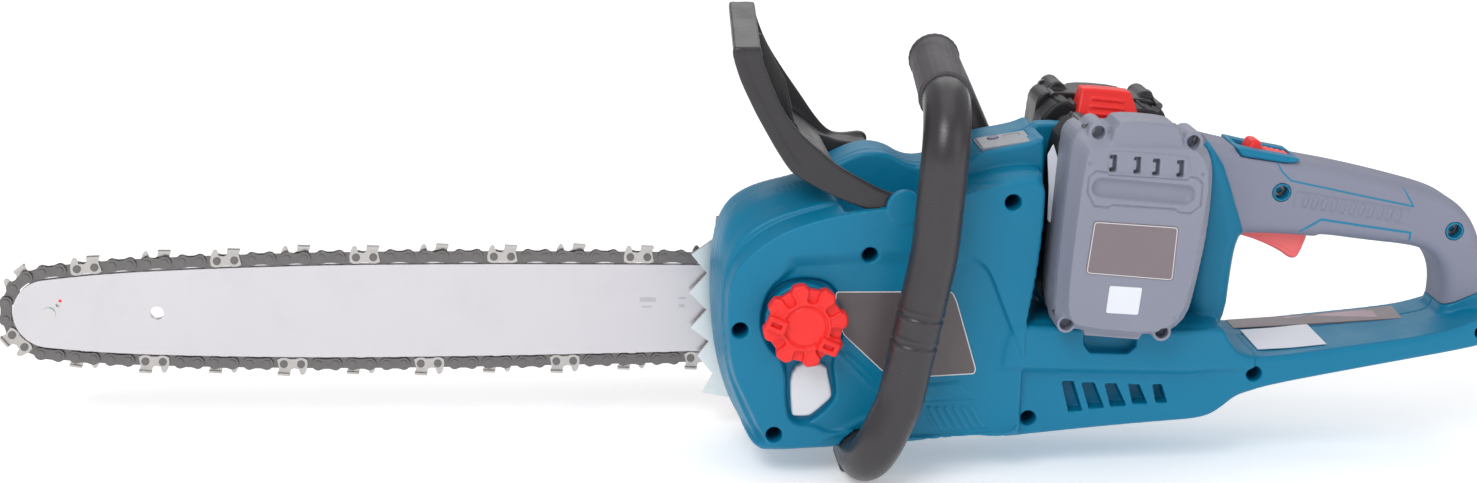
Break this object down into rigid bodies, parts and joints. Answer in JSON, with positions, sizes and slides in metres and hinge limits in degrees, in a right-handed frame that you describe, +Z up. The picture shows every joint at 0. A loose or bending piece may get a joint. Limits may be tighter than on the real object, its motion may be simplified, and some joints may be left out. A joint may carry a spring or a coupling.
{
  "type": "cordless chainsaw",
  "caption": "Cordless chainsaw with rear and front handles, guide bar and chain, oil system, chain-brake guard and slide-out battery packs.",
  "frame": {"origin": "centre of the flat ribbed sole under the motor housing, on the plane where the two housing halves meet", "axes": "+X towards the rear handle (the guide bar points to -X), +Y towards the sprocket cover side, +Z up"},
  "size_m": [0.8263, 0.166, 0.2431],
  "materials": {
    "bar_steel": "ground and brushed",
    "battery_grey": "satin",
    "black_steel": "black oxide",
    "bright_steel": "turned",
    "cast_alloy": "as cast",
    "cell_wrap": "shrink sleeve",
    "chain_steel": "oiled",
    "clear_milky": "translucent",
    "cutter_steel": "chromed",
    "dark_plastic": "fine-textured moulding",
    "grip_dark": "fine ribbed rubber",
    "grip_grey": "soft overmould",
    "housing": "satin moulded nylon",
    "lamination": "stacked laminations",
    "panel_smoke": "smoked translucent",
    "red_plastic": "satin",
    "rubber_black": "matt",
    "spike_steel": "zinc plated",
    "spring_steel": "drawn wire",
    "trigger_red": "satin",
    "wire": "cable jacket"
  },
  "bodies": {
    "saw_frame": {"bar_pad": "bright_steel", "bar_stud": "bright_steel", "brake_band": "spring_steel", "brake_spring": "spring_steel", "bumper_spikes": "spike_steel", "chain_catcher": "dark_plastic", "control_panel": "panel_smoke", "controller": "cast_alloy", "front_handle": "dark_plastic", "front_handle_grip": "grip_dark", "guard_pivot_pins": "bright_steel", "housing_screws": "black_steel", "left_housing": "housing", "lockoff_spring": "spring_steel", "m5_screws": "black_steel", "microswitch": "rubber_black", "motor_bearings": "bright_steel", "motor_frame": "cast_alloy", "motor_stator": "lamination", "oil_pickup": "rubber_black", "oil_pump": "cast_alloy", "oil_tank": "clear_milky", "rear_handle_grip": "grip_grey", "right_housing": "housing", "trigger_pin": "bright_steel", "trigger_spring": "spring_steel", "wiring_harness": "wire"},
    "guide_bar_set": {"guide_bar": "bar_steel", "nose_bearing_rivet": "bright_steel", "chain_drive_links": "chain_steel", "chain_tie_straps": "chain_steel", "chain_cutters": "cutter_steel", "chain_rivets": "bright_steel"},
    "nose_wheel": {"nose_sprocket": "black_steel"},
    "spindle": {"drive_shaft": "bright_steel", "motor_rotor": "lamination", "cooling_fan": "dark_plastic", "brake_drum": "bright_steel", "drive_sprocket": "black_steel", "sprocket_clip": "spring_steel"},
    "guard": {"hand_guard": "dark_plastic"},
    "trigger_lever": {"trigger": "trigger_red"},
    "lockoff": {"lockoff_button": "red_plastic"},
    "cap_seal": {"oil_cap_seal": "rubber_black"},
    "cap": {"oil_cap": "red_plastic"},
    "cover": {"sprocket_cover": "dark_plastic"},
    "dial": {"tension_dial": "trigger_red"},
    "knob": {"lock_knob": "dark_plastic"},
    "slider": {"tension_slider": "black_steel"},
    "power_key": {"power_button": "dark_plastic"},
    "battery_left": {"battery_left_outer_shell": "battery_grey", "battery_left_inner_shell": "rubber_black", "battery_left_cells": "cell_wrap", "battery_left_case_screws": "black_steel"},
    "latch_left": {"battery_left_release_button": "red_plastic"},
    "battery_right": {"battery_right_outer_shell": "battery_grey", "battery_right_inner_shell": "rubber_black", "battery_right_cells": "cell_wrap", "battery_right_case_screws": "black_steel"},
    "latch_right": {"battery_right_release_button": "red_plastic"}
  },
  "joints": [
    {"name": "guard_tilt", "type": "hinge", "parent": "saw_frame", "child": "guard", "pos_m": [-0.047, 0, 0.1355], "axis": [0, -1, 0], "range_deg": [0, 12]},
    {"name": "trigger_pull", "type": "hinge", "parent": "saw_frame", "child": "trigger_lever", "pos_m": [0.148, 0, 0.116], "axis": [0, -1, 0], "range_deg": [0, 12]},
    {"name": "lockoff_push", "type": "slide", "parent": "saw_frame", "child": "lockoff", "axis": [-0.9736, 0, 0.2284], "range_m": [0, 0.005]},
    {"name": "spindle_spin", "type": "hinge", "parent": "saw_frame", "child": "spindle", "pos_m": [-0.04298, 0, 0.055], "axis": [0, 1, 0], "continuous": true},
    {"name": "nose_spin", "type": "hinge", "parent": "guide_bar_set", "child": "nose_wheel", "pos_m": [-0.5088, 0.038, 0.055], "axis": [0, 1, 0], "continuous": true},
    {"name": "cap_lift", "type": "slide", "parent": "saw_frame", "child": "cap_seal", "axis": [0, -1, 0], "range_m": [0, 0.03]},
    {"name": "cap_turn", "type": "hinge", "parent": "cap_seal", "child": "cap", "pos_m": [-0.099, -0.05, 0.074], "axis": [0, 1, 0], "range_deg": [0, 90]},
    {"name": "cover_off", "type": "slide", "parent": "saw_frame", "child": "cover", "axis": [0, 1, 0], "range_m": [0, 0.045]},
    {"name": "knob_turn", "type": "hinge", "parent": "cover", "child": "knob", "pos_m": [-0.094, 0.06, 0.055], "axis": [0, 1, 0], "continuous": true},
    {"name": "dial_turn", "type": "hinge", "parent": "cover", "child": "dial", "pos_m": [-0.094, 0.06, 0.055], "axis": [0, 1, 0], "range_deg": [0, 20.4]},
    {"name": "slider_feed", "type": "slide", "parent": "cover", "child": "slider", "axis": [-1, 0, 0], "range_m": [0, 0.00041]},
    {"name": "bar_feed", "type": "slide", "parent": "saw_frame", "child": "guide_bar_set", "axis": [-1, 0, 0], "range_m": [0, 0.0004]},
    {"name": "battery_left_slide", "type": "slide", "parent": "saw_frame", "child": "battery_left", "axis": [0.0958, 0, 0.9954], "range_m": [0, 0.12]},
    {"name": "battery_right_slide", "type": "slide", "parent": "saw_frame", "child": "battery_right", "axis": [0.0958, 0, 0.9954], "range_m": [0, 0.12]},
    {"name": "latch_left_press", "type": "slide", "parent": "battery_left", "child": "latch_left", "axis": [-0.0958, 0, -0.9954], "range_m": [0, 0.003]},
    {"name": "latch_right_press", "type": "slide", "parent": "battery_right", "child": "latch_right", "axis": [-0.0958, 0, -0.9954], "range_m": [0, 0.003]},
    {"name": "power_press", "type": "slide", "parent": "saw_frame", "child": "power_key", "axis": [0.1564, 0, -0.9877], "range_m": [0, 0.0008]}
  ],
  "couplings": [
    {"joint": "nose_spin", "follows": "spindle_spin", "ratio": 0.75},
    {"joint": "slider_feed", "follows": "bar_feed", "ratio": 1},
    {"joint": "dial_turn", "follows": "bar_feed", "rad_per_m": 872.66}
  ]
}
